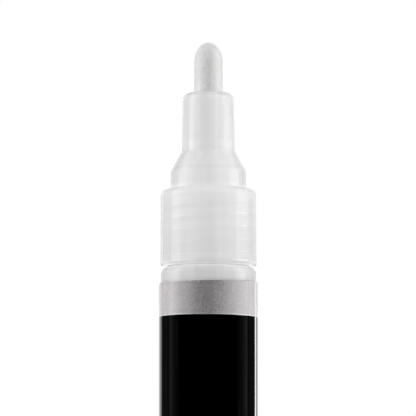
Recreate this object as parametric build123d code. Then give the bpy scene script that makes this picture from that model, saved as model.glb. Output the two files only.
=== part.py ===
from build123d import *
from math import atan2, cos, degrees, hypot, pi, radians, sin, sqrt, tan
import os

# A valve-action paint marker, nib up, standing on the cap that is posted on its tail.
# All lengths are millimetres. The marker's axis is Z, and heights add up from the cap's foot.

# Nib
NIB_RADIUS = 2.25
NIB_LENGTH = 26.0
NIB_DOME = 3.1
NIB_TIP_RADIUS = 1.75
NIB_SHOWN = 7.93
NIB_TRAVEL = 2.5
NIB_CLEARANCE = 0.1

# Barrel
BARREL_RADIUS = 7.58
BARREL_WALL = 1.38
BARREL_LENGTH = 87.0
SHOULDER_STEP = 0.18
SHOULDER_LENGTH = 2.5
THROAT_LENGTH = 3.0
THROAT_TAPER = 1.6

# Radii in the head, as shares of the room between the nib's side and the barrel's side
FEED_BORE_SHARE = 0.0938
VALVE_UPPER_BORE_SHARE = 0.1407
VALVE_LOWER_BORE_SHARE = 0.197
NECK_TOP_SHARE = 0.3171
NECK_FOOT_SHARE = 0.3546
VALVE_TUBE_SHARE = 0.394
THROAT_SHARE = 0.4409
CHAMBER_SHARE = 0.4597
THREAD_NECK_SHARE = 0.6754
CAP_SEAT_SHARE = 0.68105

# Large roundings, as shares of the ledge that they round
MOUTH_ROUNDING_SHARE = 0.711
COLLAR_ROUNDING_SHARE = 0.645
SHOULDER_ROUNDING_SHARE = 0.761

# Front section
NECK_LENGTH = 9.17
CONE_HEIGHT = 3.17
CONE_ROUNDING = 1.33
CAP_SEAT_LENGTH = 2.76
COLLAR_INSET = 0.15
COLLAR_DRAFT = 0.06
COLLAR_LENGTH = 12.04
COLLAR_FOOT_ROUNDING = 0.38
COLLAR_GAP = 0.06
COLLAR_CEILING = 0.9
MOUTH_LIP = 1.5
FEED_FLARE = 0.4

# Screw thread between the front section and the barrel, right-handed
THREAD_PITCH = 2.0
THREAD_HEIGHT = 0.45
THREAD_ROOT_WIDTH = 1.1
THREAD_CREST_WIDTH = 0.55
THREAD_CLEARANCE = 0.15
THREAD_SINK = 0.25
THREAD_START = 1.23
THREAD_RUNOUT = 1.27

# Label film around the barrel
FILM_THICKNESS = 0.1
FILM_FIT = 0.02
LABEL_TOP_MARGIN = 0.15
LABEL_FOOT_MARGIN = 1.2
LABEL_SKEW = 1.0
LABEL_SEAM = 0.3

# Tail plug
POST_LENGTH = 9.0
POST_ROUNDING = 0.5
PLUG_FLANGE = 1.2
PLUG_SPIGOT = 5.7
PLUG_WALL = 1.28
PLUG_ROOF = 1.4

# Cap
CAP_LENGTH = 33.0
CAP_END_WALL = 1.6
CAP_END_ROUNDING = 1.0
CAP_RIM_ROUNDING = 0.3
CAP_CLEARANCE = 0.05
PARTING_GAP = 0.1
CLIP_WIDTH = 4.4
CLIP_THICKNESS = 1.4
CLIP_STANDOFF = 1.4
CLIP_FOOT = 3.0
CLIP_ROOT = 4.2
CLIP_RIM_MARGIN = 5.0
CLIP_BEAD = 0.9
CLIP_BEAD_LENGTH = 4.4

# Cap liner
LINER_GRIP_WALL = 0.45
LINER_WALL = 1.0
LINER_NECK_PLAY = 0.16
LINER_RIM_RECESS = 0.3
LINER_FOOT_GAP = 3.9
LINER_FLOOR = 1.0
LINER_LAND = 1.5
LINER_POST_GAP = 0.4
LINER_LIP = 0.22
LINER_LIP_DROP = 1.2
LINER_LIP_FLARE = 0.4

# Valve
PRESS_CLEARANCE = 0.02
GASKET_THICKNESS = 0.9
GASKET_MARGIN = 0.05
VALVE_FLANGE = 1.0
VALVE_FLANGE_OVERHANG = 0.05
VALVE_PLUG = 2.0
VALVE_SKIRT = 2.6
SEAT_WALL = 1.2
SEAT_HOLE_RADIUS = 1.7
SEAT_PASSAGE = 0.5
NIB_OVERRUN = 0.2
TOUCH_GAP = 0.03
STEM_HEAD = 1.5
STEM_HEAD_PLAY = 0.25
STEM_PIN_RADIUS = 1.1
STEM_PIN_ROOM = 1.4
SEAL_MARGIN = 0.2
SEAL_THICKNESS = 0.8
CAGE_WALL = 0.55
CAGE_SOCKET = 2.0
CAGE_FLOOR = 1.0
CAGE_DRAIN_RADIUS = 0.8
CAGE_WINDOW_WIDTH = 2.0
CAGE_WINDOW_MARGIN = 1.25

# Valve spring
SPRING_LENGTH = 9.1
SPRING_TURNS = 6
SPRING_INSET = 0.75
SPRING_WIRE_RADIUS = 0.2

# Nib guide
GUIDE_FLANGE = 1.1
GUIDE_TUBE = 7.0
GUIDE_PORT_SHARE = 0.5
GUIDE_PORTS = 4

# Mixing balls
BALL_WALL_GAP = 0.85
BALL_PAIR_GAP = 0.7
BALL_GAP = 0.05

# Heights of the outside, from the cap's foot to the nib's tip
cap_rim_z = CAP_LENGTH
flange_z = cap_rim_z + PARTING_GAP
post_z = flange_z - POST_LENGTH
tube_z = flange_z + PLUG_FLANGE
shoulder_z = tube_z + BARREL_LENGTH
step_z = shoulder_z - SHOULDER_LENGTH
collar_z = shoulder_z + COLLAR_GAP
collar_top_z = collar_z + COLLAR_LENGTH
seat_top_z = collar_top_z + CAP_SEAT_LENGTH
neck_z = seat_top_z + CONE_HEIGHT
mouth_z = neck_z + NECK_LENGTH
tip_z = mouth_z + NIB_SHOWN

# Heights inside the head
ceiling_z = collar_top_z - COLLAR_CEILING
valve_flange_z = ceiling_z - VALVE_FLANGE
rim_z = valve_flange_z - GASKET_THICKNESS
guide_z = ceiling_z + VALVE_PLUG
chamber_top_z = guide_z + GUIDE_FLANGE
nib_rear_z = tip_z - NIB_LENGTH
seat_z = nib_rear_z - NIB_TRAVEL - NIB_OVERRUN
seat_foot_z = seat_z - SEAT_WALL
seal_z = seat_foot_z - TOUCH_GAP - SEAL_THICKNESS
stem_head_z = seal_z - STEM_HEAD
valve_foot_z = stem_head_z - VALVE_SKIRT
cage_floor_z = stem_head_z - SPRING_LENGTH
pin_foot_z = cage_floor_z + NIB_TRAVEL + STEM_PIN_ROOM
thread_turns = (rim_z - shoulder_z - THREAD_START - THREAD_RUNOUT) / THREAD_PITCH


def layer(share):
    """Radius at a share of the room between the nib's side and the barrel's side."""
    return NIB_RADIUS + share * (BARREL_RADIUS - NIB_RADIUS)


# Radii of the front section and the barrel
nib_bore_radius = NIB_RADIUS + NIB_CLEARANCE
feed_bore_radius = layer(FEED_BORE_SHARE)
neck_top_radius = layer(NECK_TOP_SHARE)
neck_foot_radius = layer(NECK_FOOT_SHARE)
chamber_radius = layer(CHAMBER_SHARE)
cap_seat_radius = layer(CAP_SEAT_SHARE)
collar_top_radius = BARREL_RADIUS - COLLAR_INSET
collar_foot_radius = collar_top_radius + COLLAR_DRAFT
shoulder_radius = BARREL_RADIUS - SHOULDER_STEP
thread_neck_radius = layer(THREAD_NECK_SHARE)
collar_bore_radius = thread_neck_radius + THREAD_HEIGHT + THREAD_CLEARANCE
throat_radius = layer(THROAT_SHARE)
barrel_bore_radius = BARREL_RADIUS - BARREL_WALL
film_inner_radius = BARREL_RADIUS + FILM_FIT
label_radius = film_inner_radius + FILM_THICKNESS

# Radii of the valve, the balls and the cap
valve_tube_radius = layer(VALVE_TUBE_SHARE)
valve_flange_radius = thread_neck_radius + VALVE_FLANGE_OVERHANG
valve_upper_bore_radius = layer(VALVE_UPPER_BORE_SHARE)
valve_lower_bore_radius = layer(VALVE_LOWER_BORE_SHARE)
cage_bore_radius = valve_lower_bore_radius - CAGE_WALL
stem_radius = SEAT_HOLE_RADIUS - SEAT_PASSAGE
stem_head_radius = cage_bore_radius - STEM_HEAD_PLAY
stem_seal_radius = stem_head_radius - SEAL_MARGIN
spring_radius = stem_head_radius - SPRING_INSET
ball_radius = (barrel_bore_radius - BALL_WALL_GAP - BALL_PAIR_GAP / 2) / 2
ball_offset = ball_radius + BALL_PAIR_GAP / 2
post_radius = cap_seat_radius
cap_radius = label_radius
cap_grip_radius = cap_seat_radius + CAP_CLEARANCE
cap_bore_radius = cap_grip_radius + LINER_GRIP_WALL + PRESS_CLEARANCE
liner_bore_radius = neck_foot_radius + LINER_NECK_PLAY
liner_tube_radius = liner_bore_radius + LINER_WALL


def turned(*corners):
    """Turn a closed outline of (radius, height, corner rounding) about Z."""
    points = [(radius, height) for radius, height, rounding in corners]
    roundings = [rounding for radius, height, rounding in corners]
    outline = FilletPolyline(*points, radius=roundings, close=True)
    return revolve(Plane.XZ * make_face(outline), Axis.Z)


def thread_ridge(root_radius, height, sink, start_z):
    """Sweep one trapezoid ridge up the thread's helix; a negative height points inward.

    Its flanks run on into the wall, so that they meet the wall at a clean angle.
    """
    inner = root_radius - sink if height > 0 else root_radius + sink
    half_crest = THREAD_CREST_WIDTH / 2
    lean = (THREAD_ROOT_WIDTH / 2 - half_crest) / abs(height)
    half_inner = THREAD_ROOT_WIDTH / 2 + lean * sink
    section = make_face(
        Polyline(
            (inner, -half_inner),
            (root_radius + height, -half_crest),
            (root_radius + height, half_crest),
            (inner, half_inner),
            close=True,
        )
    )
    path = Helix(THREAD_PITCH, THREAD_PITCH * thread_turns, root_radius)
    return Pos(0, 0, start_z) * sweep(Plane.XZ * section, path, is_frenet=True)


def make_nib():
    """Fibre nib with a bullet dome at each end, so it can be turned round when worn."""
    front_z = tip_z - NIB_DOME
    rear_z = nib_rear_z + NIB_DOME
    drop = NIB_DOME - NIB_TIP_RADIUS
    flank_radius = (NIB_RADIUS**2 + drop**2 - NIB_TIP_RADIUS**2) / (2 * (NIB_RADIUS - NIB_TIP_RADIUS))
    flank_x = NIB_RADIUS - flank_radius
    turn = degrees(atan2(drop, -flank_x))
    rear_tip = CenterArc((0, nib_rear_z + NIB_TIP_RADIUS), NIB_TIP_RADIUS, -90, 90 - turn)
    rear_flank = CenterArc((flank_x, rear_z), flank_radius, -turn, turn)
    side = Line((NIB_RADIUS, rear_z), (NIB_RADIUS, front_z))
    flank = CenterArc((flank_x, front_z), flank_radius, 0, turn)
    tip = CenterArc((0, tip_z - NIB_TIP_RADIUS), NIB_TIP_RADIUS, turn, 90 - turn)
    axis = Line((0, tip_z), (0, nib_rear_z))
    return revolve(Plane.XZ * make_face([rear_tip, rear_flank, side, flank, tip, axis]), Axis.Z)


def make_front_section():
    """Nib holder and screw collar in one moulding, with the thread inside the collar."""
    lip_z = mouth_z - MOUTH_LIP
    collar_rounding = COLLAR_ROUNDING_SHARE * (collar_top_radius - cap_seat_radius)
    mouth_rounding = MOUTH_ROUNDING_SHARE * (neck_top_radius - nib_bore_radius)
    shell = turned(
        (collar_foot_radius, collar_z, COLLAR_FOOT_ROUNDING),
        (collar_top_radius, collar_top_z, collar_rounding),
        (cap_seat_radius, collar_top_z, 0.15),
        (cap_seat_radius, seat_top_z, CONE_ROUNDING),
        (neck_foot_radius, neck_z, 0.4),
        (neck_top_radius, mouth_z, mouth_rounding),
        (nib_bore_radius, mouth_z, 0.15),
        (nib_bore_radius, lip_z, 0),
        (feed_bore_radius, lip_z - FEED_FLARE, 0),
        (feed_bore_radius, neck_z - FEED_FLARE, 0),
        (chamber_radius, chamber_top_z, 0),
        (chamber_radius, ceiling_z, 0),
        (collar_bore_radius, ceiling_z, 0.3),
        (collar_bore_radius, collar_z, 0),
    )
    start_z = shoulder_z + THREAD_START + THREAD_PITCH / 2
    return shell + thread_ridge(collar_bore_radius, -THREAD_HEIGHT, THREAD_SINK, start_z)


def make_nib_guide():
    """Flanged tube that keeps the nib central, with ports that let paint past its flange."""
    guide = turned(
        (nib_bore_radius, guide_z, 0.1),
        (chamber_radius - PRESS_CLEARANCE, guide_z, 0),
        (chamber_radius - PRESS_CLEARANCE, chamber_top_z, 0.2),
        (feed_bore_radius - PRESS_CLEARANCE, chamber_top_z, 0),
        (feed_bore_radius - PRESS_CLEARANCE, chamber_top_z + GUIDE_TUBE, 0.1),
        (nib_bore_radius, chamber_top_z + GUIDE_TUBE, 0.1),
    )
    port_circle = (feed_bore_radius + chamber_radius) / 2
    port_radius = GUIDE_PORT_SHARE * (chamber_radius - feed_bore_radius) / 2
    port = Pos(0, 0, guide_z + GUIDE_FLANGE / 2) * Cylinder(port_radius, 2 * GUIDE_FLANGE)
    for place in PolarLocations(port_circle, GUIDE_PORTS):
        guide -= place * port
    return guide


def make_seal_ring():
    """Flat gasket between the barrel's rim and the valve's flange."""
    return turned(
        (throat_radius + GASKET_MARGIN, rim_z, 0),
        (thread_neck_radius - GASKET_MARGIN, rim_z, 0),
        (thread_neck_radius - GASKET_MARGIN, valve_flange_z, 0),
        (throat_radius + GASKET_MARGIN, valve_flange_z, 0),
    )


def make_valve_body():
    """Valve housing: a plug in the section's chamber, a flange and the valve seat in its tube."""
    return turned(
        (valve_lower_bore_radius, valve_foot_z, 0),
        (valve_tube_radius, valve_foot_z, 0),
        (valve_tube_radius, valve_flange_z, 0),
        (valve_flange_radius, valve_flange_z, 0.15),
        (valve_flange_radius, ceiling_z, 0.15),
        (chamber_radius - PRESS_CLEARANCE, ceiling_z, 0),
        (chamber_radius - PRESS_CLEARANCE, guide_z, 0),
        (valve_upper_bore_radius, guide_z, 0.2),
        (valve_upper_bore_radius, seat_z, 0),
        (SEAT_HOLE_RADIUS, seat_z, 0.15),
        (SEAT_HOLE_RADIUS, seat_foot_z, 0.15),
        (valve_lower_bore_radius, seat_foot_z, 0),
    )


def make_valve_cage():
    """Cup under the valve body that carries the spring, with windows for the paint."""
    socket_top_z = valve_foot_z + CAGE_SOCKET
    cage_foot_z = cage_floor_z - CAGE_FLOOR
    cage = turned(
        (CAGE_DRAIN_RADIUS, cage_foot_z, 0),
        (valve_tube_radius, cage_foot_z, 0.4),
        (valve_tube_radius, valve_foot_z, 0),
        (valve_lower_bore_radius - PRESS_CLEARANCE, valve_foot_z, 0),
        (valve_lower_bore_radius - PRESS_CLEARANCE, socket_top_z, 0),
        (cage_bore_radius, socket_top_z, 0.1),
        (cage_bore_radius, cage_floor_z, 0),
        (CAGE_DRAIN_RADIUS, cage_floor_z, 0),
    )
    window_z = (cage_floor_z + valve_foot_z) / 2
    window_height = valve_foot_z - cage_floor_z - 2 * CAGE_WINDOW_MARGIN
    window = Pos(0, 0, window_z) * Box(4 * valve_tube_radius, CAGE_WINDOW_WIDTH, window_height)
    return cage - window - Rot(0, 0, 90) * window


def make_valve_stem():
    """Stem that the nib pushes: a rod through the seat, a sealing head and a spring pin."""
    stem_top_z = nib_rear_z - TOUCH_GAP
    return turned(
        (0, pin_foot_z, 0),
        (STEM_PIN_RADIUS, pin_foot_z, 0.4),
        (STEM_PIN_RADIUS, stem_head_z, 0),
        (stem_head_radius, stem_head_z, 0.2),
        (stem_head_radius, seal_z, 0.2),
        (stem_radius, seal_z, 0),
        (stem_radius, stem_top_z, 0.3),
        (0, stem_top_z, 0),
    )


def make_stem_seal():
    """Rubber washer on the stem's head that closes the seat."""
    return turned(
        (stem_radius + PRESS_CLEARANCE, seal_z, 0),
        (stem_seal_radius, seal_z, 0),
        (stem_seal_radius, seal_z + SEAL_THICKNESS, 0.2),
        (stem_radius + PRESS_CLEARANCE, seal_z + SEAL_THICKNESS, 0),
    )


def half_turn_arcs(start, start_tangent, end, end_tangent):
    """Two tangent arcs that carry a coil through half a turn."""
    chord = end - start
    bend = start_tangent + end_tangent
    a = 2 * (start_tangent.dot(end_tangent) - 1)
    b = -2 * chord.dot(bend)
    c = chord.dot(chord)
    reach = (-b - sqrt(b * b - 4 * a * c)) / (2 * a)
    middle = (start + end + (start_tangent - end_tangent) * reach) * 0.5
    first = TangentArc(start, middle, tangent=start_tangent)
    second = TangentArc(end, middle, tangent=end_tangent * -1)
    return [first, second]


def make_valve_spring():
    """Open coil of steel wire between the stem's head and the cage's floor."""
    foot_z = cage_floor_z + SPRING_WIRE_RADIUS + TOUCH_GAP
    rise = SPRING_LENGTH - 2 * (SPRING_WIRE_RADIUS + TOUCH_GAP)
    pitch = rise / SPRING_TURNS
    slope = hypot(2 * pi * spring_radius, pitch)

    def place(turn):
        angle = 2 * pi * turn
        return Vector(spring_radius * cos(angle), spring_radius * sin(angle), foot_z + pitch * turn)

    def heading(turn):
        angle = 2 * pi * turn
        around = 2 * pi * spring_radius / slope
        return Vector(-around * sin(angle), around * cos(angle), pitch / slope)

    arcs = []
    for step in range(2 * SPRING_TURNS):
        low = step / 2
        high = low + 0.5
        arcs += half_turn_arcs(place(low), heading(low), place(high), heading(high))
    path = Wire(arcs)
    samples = 40 * SPRING_TURNS
    points = [path.position_at(i / samples) for i in range(samples + 1)]
    gap = min((far - near).length for i, near in enumerate(points) for far in points[i + 20 :])
    print("valve_spring least gap to itself", round(gap - 2 * SPRING_WIRE_RADIUS, 2), "mm")
    section = Plane(origin=path @ 0, z_dir=path % 0) * Circle(SPRING_WIRE_RADIUS)
    return sweep(section, path)


def make_barrel():
    """Barrel: a stepped tube with a shoulder and a threaded neck."""
    throat_z = shoulder_z - THROAT_LENGTH
    shoulder_rounding = SHOULDER_ROUNDING_SHARE * (shoulder_radius - thread_neck_radius)
    tube = turned(
        (BARREL_RADIUS, tube_z, 0),
        (BARREL_RADIUS, step_z, 0.1),
        (shoulder_radius, step_z, 0),
        (shoulder_radius, shoulder_z, shoulder_rounding),
        (thread_neck_radius, shoulder_z, 0.2),
        (thread_neck_radius, rim_z, 0.2),
        (throat_radius, rim_z, 0),
        (throat_radius, throat_z, 0),
        (barrel_bore_radius, throat_z - THROAT_TAPER, 0),
        (barrel_bore_radius, tube_z, 0),
    )
    start_z = shoulder_z + THREAD_START
    return tube + thread_ridge(thread_neck_radius, THREAD_HEIGHT, THREAD_SINK, start_z)


def make_label_sleeve():
    """Printed film around the barrel, with its seam at the back and its top cut a little askew."""
    foot_z = tube_z + LABEL_FOOT_MARGIN
    top_z = step_z - LABEL_TOP_MARGIN
    over_z = top_z + 2 * label_radius * tan(radians(LABEL_SKEW))
    film = turned(
        (film_inner_radius, foot_z, 0),
        (label_radius, foot_z, 0),
        (label_radius, over_z, 0),
        (film_inner_radius, over_z, 0),
    )
    lean = radians(LABEL_SKEW)
    top_cut = Plane(origin=(0, 0, top_z), x_dir=(cos(lean), 0, sin(lean)), z_dir=(-sin(lean), 0, cos(lean)))
    film = split(film, bisect_by=top_cut, keep=Keep.BOTTOM)
    seam_cut = Box(LABEL_SEAM, 4 * FILM_THICKNESS, 2 * (over_z - foot_z))
    seam = Pos(0, label_radius, (foot_z + over_z) / 2) * seam_cut
    return film - seam


def make_tail_plug():
    """Plug that closes the barrel's tail, with the post that the cap goes on."""
    plug_top_z = tube_z + PLUG_SPIGOT
    spigot_radius = barrel_bore_radius - PRESS_CLEARANCE
    plug_bore_radius = post_radius - PLUG_WALL
    return turned(
        (post_radius, post_z, POST_ROUNDING),
        (post_radius, flange_z, 0),
        (BARREL_RADIUS, flange_z, 0.2),
        (BARREL_RADIUS, tube_z, 0),
        (spigot_radius, tube_z, 0),
        (spigot_radius, plug_top_z, 0.4),
        (0, plug_top_z, 0),
        (0, plug_top_z - PLUG_ROOF, 0),
        (plug_bore_radius, plug_top_z - PLUG_ROOF, 0.6),
        (plug_bore_radius, post_z, 0),
    )


def make_mixing_ball(side):
    """Steel ball that stirs the paint, resting on the tail plug's roof."""
    plug_top_z = tube_z + PLUG_SPIGOT
    return Pos(side * ball_offset, 0, plug_top_z + BALL_GAP + ball_radius) * Sphere(ball_radius)


def make_cap_shell():
    """Outer cap with its pocket clip."""
    shell = turned(
        (0, 0, 0),
        (cap_radius, 0, CAP_END_ROUNDING),
        (cap_radius, cap_rim_z, CAP_RIM_ROUNDING),
        (cap_bore_radius, cap_rim_z, 0),
        (cap_bore_radius, CAP_END_WALL, 0),
        (0, CAP_END_WALL, 0),
    )
    root_x = (cap_bore_radius + cap_radius) / 2
    inner_x = cap_radius + CLIP_STANDOFF
    outer_x = inner_x + CLIP_THICKNESS
    end_z = cap_rim_z - CLIP_RIM_MARGIN
    outline = FilletPolyline(
        (root_x, CLIP_FOOT),
        (outer_x - CLIP_THICKNESS, CLIP_FOOT),
        (outer_x, CLIP_FOOT + CLIP_ROOT / 2),
        (outer_x, end_z),
        (inner_x, end_z),
        (inner_x - CLIP_BEAD, end_z - CLIP_BEAD_LENGTH / 2),
        (inner_x, end_z - CLIP_BEAD_LENGTH),
        (inner_x, CLIP_FOOT + CLIP_ROOT),
        (root_x, CLIP_FOOT + CLIP_ROOT),
        radius=[0, 1.5, 2.0, 0.6, 0.3, 0.8, 0.8, 0.5, 0],
        close=True,
    )
    clip = extrude(Plane.XZ * make_face(outline), CLIP_WIDTH / 2, both=True)
    long_edges = clip.edges().filter_by(Axis.Z).sort_by(Axis.X)[-2:]
    return shell + fillet(long_edges, 0.5)


def make_cap_liner():
    """Inner cap: grips the post or the section's seat, and seals round the neck."""
    land_radius = cap_bore_radius - PRESS_CLEARANCE
    top_z = cap_rim_z - LINER_RIM_RECESS
    foot_z = CAP_END_WALL + LINER_FOOT_GAP
    grip_z = post_z - LINER_POST_GAP
    lip_z = grip_z - LINER_LIP_DROP
    return turned(
        (0, foot_z, 0),
        (land_radius, foot_z, 0.3),
        (land_radius, foot_z + LINER_LAND, 0),
        (liner_tube_radius, foot_z + LINER_LAND, 0),
        (liner_tube_radius, grip_z - LINER_LAND, 0),
        (land_radius, grip_z - LINER_LAND, 0),
        (land_radius, top_z, 0),
        (cap_grip_radius, top_z, 0.2),
        (cap_grip_radius, grip_z, 0),
        (liner_bore_radius, grip_z, 0.3),
        (liner_bore_radius, lip_z + LINER_LIP_FLARE, 0),
        (liner_bore_radius - LINER_LIP, lip_z, 0.2),
        (liner_bore_radius, lip_z - LINER_LIP_FLARE, 0),
        (liner_bore_radius, foot_z + LINER_FLOOR, 0.5),
        (0, foot_z + LINER_FLOOR, 0),
    )


pieces = {
    "cap_shell": make_cap_shell(),
    "cap_liner": make_cap_liner(),
    "tail_plug": make_tail_plug(),
    "barrel": make_barrel(),
    "label_sleeve": make_label_sleeve(),
    "mixing_ball_left": make_mixing_ball(-1),
    "mixing_ball_right": make_mixing_ball(1),
    "front_section": make_front_section(),
    "seal_ring": make_seal_ring(),
    "nib_guide": make_nib_guide(),
    "valve_body": make_valve_body(),
    "valve_cage": make_valve_cage(),
    "valve_spring": make_valve_spring(),
    "valve_stem": make_valve_stem(),
    "stem_seal": make_stem_seal(),
    "nib": make_nib(),
}

os.makedirs("parts", exist_ok=True)
for name, piece in pieces.items():
    export_step(piece, f"parts/{name}.step")
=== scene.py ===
"""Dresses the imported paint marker: finishes, finer meshes, studio light and camera."""

import logging
import math
from dataclasses import dataclass, field
from enum import Enum
from functools import cached_property, reduce
from typing import Optional, Sequence, Union

import bpy
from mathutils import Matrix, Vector, noise


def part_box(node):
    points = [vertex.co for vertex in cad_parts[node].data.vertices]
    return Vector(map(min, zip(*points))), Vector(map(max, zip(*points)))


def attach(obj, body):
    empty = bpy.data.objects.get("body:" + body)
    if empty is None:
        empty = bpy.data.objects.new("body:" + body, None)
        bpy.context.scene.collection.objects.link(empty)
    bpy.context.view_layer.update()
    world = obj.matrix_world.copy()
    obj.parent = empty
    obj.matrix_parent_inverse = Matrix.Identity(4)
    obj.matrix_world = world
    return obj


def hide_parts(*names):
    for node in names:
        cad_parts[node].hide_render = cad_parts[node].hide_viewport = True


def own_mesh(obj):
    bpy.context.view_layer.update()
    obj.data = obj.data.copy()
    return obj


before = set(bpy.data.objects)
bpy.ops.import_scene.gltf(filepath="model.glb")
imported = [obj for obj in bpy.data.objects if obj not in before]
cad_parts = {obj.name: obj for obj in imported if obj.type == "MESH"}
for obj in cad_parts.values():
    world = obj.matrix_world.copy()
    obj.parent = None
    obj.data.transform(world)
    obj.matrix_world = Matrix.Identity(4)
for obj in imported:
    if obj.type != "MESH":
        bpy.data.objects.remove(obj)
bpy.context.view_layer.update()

log = logging.getLogger("paint_marker")

MM = 0.001
TURN = 2 * math.pi
QUARTER_TURN = math.pi / 2

Socket = bpy.types.NodeSocket
Sockets = bpy.types.bpy_prop_collection
Colour = tuple[float, float, float]
Value = Union[float, Colour, Socket]
Axes = tuple[Socket, Socket, Socket]
Span = tuple[float, float]
Stops = tuple[tuple[float, float], ...]

WHITE: Colour = (1.0, 1.0, 1.0)


def in_metres(stops: Stops) -> Stops:
    """Returns stops given by heights in millimetres as stops by heights in metres."""
    return tuple((height * MM, level) for height, level in stops)


def in_radians(stops: Stops) -> Stops:
    """Returns stops given by angles in degrees as stops by angles in radians."""
    return tuple((math.radians(angle), level) for angle, level in stops)


class Slot(str, Enum):
    """Names of two material slots in the record; nothing in this script reads them."""

    NIB = "nib_fibre"
    SPRING = "spring_steel"


class Body(str, Enum):
    """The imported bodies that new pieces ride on."""

    HEAD = "head"
    NIB = "nib"


class Ray(str, Enum):
    """The kinds of ray that the studio's surround and floor answer."""

    CAMERA = "Is Camera Ray"
    GLOSSY = "Is Glossy Ray"
    TRANSMISSION = "Is Transmission Ray"


class Side(Enum):
    """The sides of the marker, by the sign of x."""

    LEFT = -1
    RIGHT = 1


class Effect(str, Enum):
    """The surface effects that several finishes share."""

    MOULDED_SKIN = "moulded_skin"
    FLOW_LINES = "flow_lines"
    HANDLING = "handling"
    METAL_FLAKE = "metal_flake"


# ---------- node trees


@dataclass(frozen=True)
class Cloud:
    """One noise: its scale per metre, finer layers, their weight, and a factor along the marker."""

    scale: float
    detail: float
    rough: float = 0.5
    along: float = 1.0


class Graph:
    """Adds and links the nodes of one node tree."""

    # A Mix node's sockets for two values and for two colours.
    mix_values = (2, 3)
    mix_colours = (6, 7)
    mixed_value = 0
    mixed_colour = 2

    def __init__(self, tree: bpy.types.NodeTree) -> None:
        """Takes an empty node tree."""
        self.tree = tree

    def add(
        self, kind: str, inputs: Optional[dict[Union[int, str], Value]] = None, **settings: object
    ) -> bpy.types.Node:
        """Adds one node.

        Args:
            kind: Blender's name of the node type.
            inputs: values or sockets for the node's inputs, by name or number.
            settings: attributes of the node itself.

        Returns:
            The new node.
        """
        node = self.tree.nodes.new(kind)
        for name, value in settings.items():
            setattr(node, name, value)
        for key, value in (inputs or {}).items():
            self.feed(node.inputs[key], value)
        return node

    def feed(self, target: Socket, value: Value) -> None:
        """Links a socket to an input, or sets the input's own value.

        Args:
            target: the input.
            value: a socket, a number, or a colour of three numbers.
        """
        if isinstance(value, Socket):
            self.tree.links.new(value, target)
        elif isinstance(value, tuple) and target.type == "RGBA":
            target.default_value = (*value, 1.0)
        else:
            target.default_value = value

    @cached_property
    def spot(self) -> Socket:
        """The place on the piece, in metres of the shared frame."""
        return self.add("ShaderNodeTexCoord").outputs["Object"]

    @cached_property
    def axes(self) -> Axes:
        """The x, y and z of that place."""
        return tuple(self.add("ShaderNodeSeparateXYZ", {0: self.spot}).outputs)

    @property
    def height(self) -> Socket:
        """The height of that place."""
        return self.axes[2]

    def math(self, operation: str, *values: Value) -> Socket:
        """Adds a Math node and returns its value."""
        return self.add("ShaderNodeMath", dict(enumerate(values)), operation=operation).outputs[0]

    def product(self, *values: Value) -> Socket:
        """Returns the product of two or more values."""
        return reduce(lambda first, second: self.math("MULTIPLY", first, second), values)

    def flipped(self, value: Value) -> Socket:
        """Returns 1 less a value."""
        return self.math("SUBTRACT", 1.0, value)

    def weighed(self, first: Value, second: Value, share: float) -> Socket:
        """Returns the mean of two values, with the second's share of it given."""
        return self.math("ADD", self.product(first, 1.0 - share), self.product(second, share))

    def smooth(self, value: Value, low: float, high: float) -> Socket:
        """Returns a smooth step from 0 at low to 1 at high."""
        inputs = {"Value": value, "From Min": low, "From Max": high}
        return self.add("ShaderNodeMapRange", inputs, interpolation_type="SMOOTHSTEP").outputs[0]

    def near(self, value: Value, middle: float, reach: float) -> Socket:
        """Returns 1 at a middle value, smoothly down to 0 at a reach from it."""
        off = self.math("ABSOLUTE", self.math("SUBTRACT", value, middle))
        return self.flipped(self.smooth(off, 0.0, reach))

    def span(self, value: Value, low: float, high: float) -> Socket:
        """Returns a value of 0 to 1 spread between low and high."""
        inputs = {"Value": value, "To Min": low, "To Max": high}
        return self.add("ShaderNodeMapRange", inputs).outputs[0]

    def choose(self, share: Value, first: Value, second: Value) -> Socket:
        """Returns a mix of two values by a share."""
        inputs = {"Factor": share, **dict(zip(self.mix_values, (first, second)))}
        return self.add("ShaderNodeMix", inputs).outputs[self.mixed_value]

    def blend(self, share: Value, first: Value, second: Value) -> Socket:
        """Returns a mix of two colours by a share that changes over the surface."""
        inputs = {"Factor": share, **dict(zip(self.mix_colours, (first, second)))}
        return self.add("ShaderNodeMix", inputs, data_type="RGBA").outputs[self.mixed_colour]

    def ramp(self, value: Value, stops: Stops) -> Socket:
        """Returns a value read off a line through stops.

        Args:
            value: where on the line to read.
            stops: pairs of a place on the line and the value there, in order.

        Returns:
            The value, level before the first stop and after the last one.
        """
        first, last = stops[0][0], stops[-1][0]
        inputs = {"Value": value, "From Min": first, "From Max": last}
        share = self.add("ShaderNodeMapRange", inputs).outputs[0]
        node = self.add("ShaderNodeValToRGB", {"Fac": share})
        line = node.color_ramp
        while len(line.elements) < len(stops):
            line.elements.new(1.0)
        # All places come first, because the line sorts its elements by them.
        for element, (place, _) in zip(line.elements, stops):
            element.position = (place - first) / (last - first)
        for element, (_, level) in zip(line.elements, stops):
            element.color = (level, level, level, 1.0)
        return node.outputs["Color"]

    def around(self, stops: Stops) -> Socket:
        """Returns a level off stops by degrees round the axis, the same at the back as in front."""
        x, y, _ = self.axes
        return self.ramp(self.math("ARCTAN2", x, self.math("ABSOLUTE", y)), in_radians(stops))

    def shaded(self, colour: Value, level: Value) -> Socket:
        """Returns a colour made paler or deeper by a level."""
        inputs = {0: colour, "Scale": level}
        return self.add("ShaderNodeVectorMath", inputs, operation="SCALE").outputs["Vector"]

    def turned(self, stops: Stops) -> Socket:
        """Returns a level off stops, from 0 face on to 1 edge on.

        On a base colour it paints sheen or edge shade; it also sets how strongly flake grain shows.
        """
        return self.ramp(self.add("ShaderNodeLayerWeight", {"Blend": 0.5}).outputs["Facing"], stops)

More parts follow.
